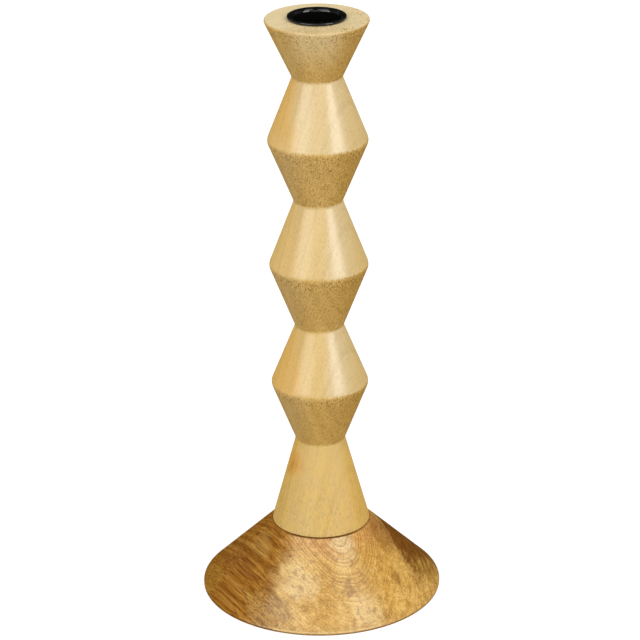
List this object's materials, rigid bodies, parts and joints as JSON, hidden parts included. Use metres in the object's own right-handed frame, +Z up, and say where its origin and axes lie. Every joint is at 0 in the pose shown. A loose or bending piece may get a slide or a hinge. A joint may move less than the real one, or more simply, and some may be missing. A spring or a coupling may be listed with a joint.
{
  "type": "candle holder",
  "caption": "Turned wooden candle holder: a pale spindle of stacked double cones on a darker, wide conical base, with a lift-out black metal cup for a taper candle.",
  "frame": {"origin": "on the turning axis, at the height of the table, in the middle of the felt's underside", "axes": "+Z up along the turning axis to the candle; X and Y are level, and the object is round about Z"},
  "size_m": [0.1212, 0.1212, 0.302],
  "materials": {
    "base_wood": "semi-gloss lacquer over stained brown mango wood",
    "stem_wood": "satin lacquer over pale mango wood",
    "cup_enamel": "gloss black enamel on pressed steel",
    "zinc_steel": "bright zinc plate",
    "felt": "pressed wool felt, dark grey"
  },
  "bodies": {
    "holder": {"base": "base_wood", "stem": "stem_wood", "hanger_bolt": "zinc_steel", "washer": "zinc_steel", "hex_nut": "zinc_steel", "felt_pad": "felt"},
    "cup": {"candle_cup": "cup_enamel"}
  },
  "joints": [
    {"name": "cup_lift", "type": "slide", "parent": "holder", "child": "cup", "axis": [0, 0, 1], "range_m": [0, 0.02]}
  ]
}
